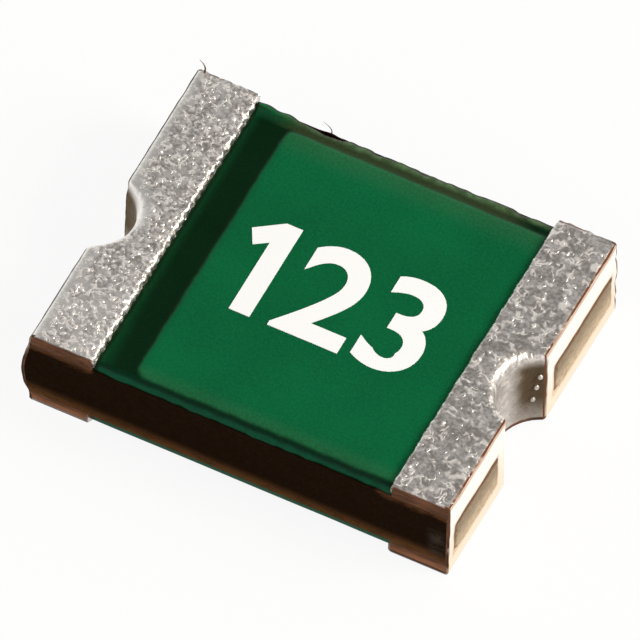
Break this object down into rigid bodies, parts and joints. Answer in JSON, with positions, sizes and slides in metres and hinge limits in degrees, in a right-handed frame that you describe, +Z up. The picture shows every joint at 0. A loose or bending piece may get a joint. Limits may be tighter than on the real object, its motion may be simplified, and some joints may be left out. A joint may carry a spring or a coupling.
{
  "type": "resettable fuse",
  "caption": "Flat surface-mount polymer fuse chip with green solder mask, tinned end pads and plated half-hole terminals; it trips on overcurrent and resets when it cools.",
  "frame": {"origin": "under the middle of the chip, on the plane of its solder pads", "axes": "+X along the chip from the left terminal to the right one, +Y from the front long edge to the back one, +Z up out of the marked face"},
  "size_m": [0.0032, 0.0026, 0.0008],
  "materials": {
    "polymer_core": "sawn matte",
    "copper": "dull sawn copper",
    "tin": "frosted matte tin",
    "solder_mask": "satin gloss",
    "marking_ink": "matte white print"
  },
  "bodies": {
    "root": {"ptc_core": "polymer_core", "top_electrode_foil": "copper", "bottom_electrode_foil": "copper", "left_pad_foil": "copper", "right_pad_foil": "copper", "left_terminal_copper": "copper", "right_terminal_copper": "copper", "left_terminal_tin": "tin", "right_terminal_tin": "tin", "top_solder_mask": "solder_mask", "bottom_solder_mask": "solder_mask"}
  },
  "joints": []
}
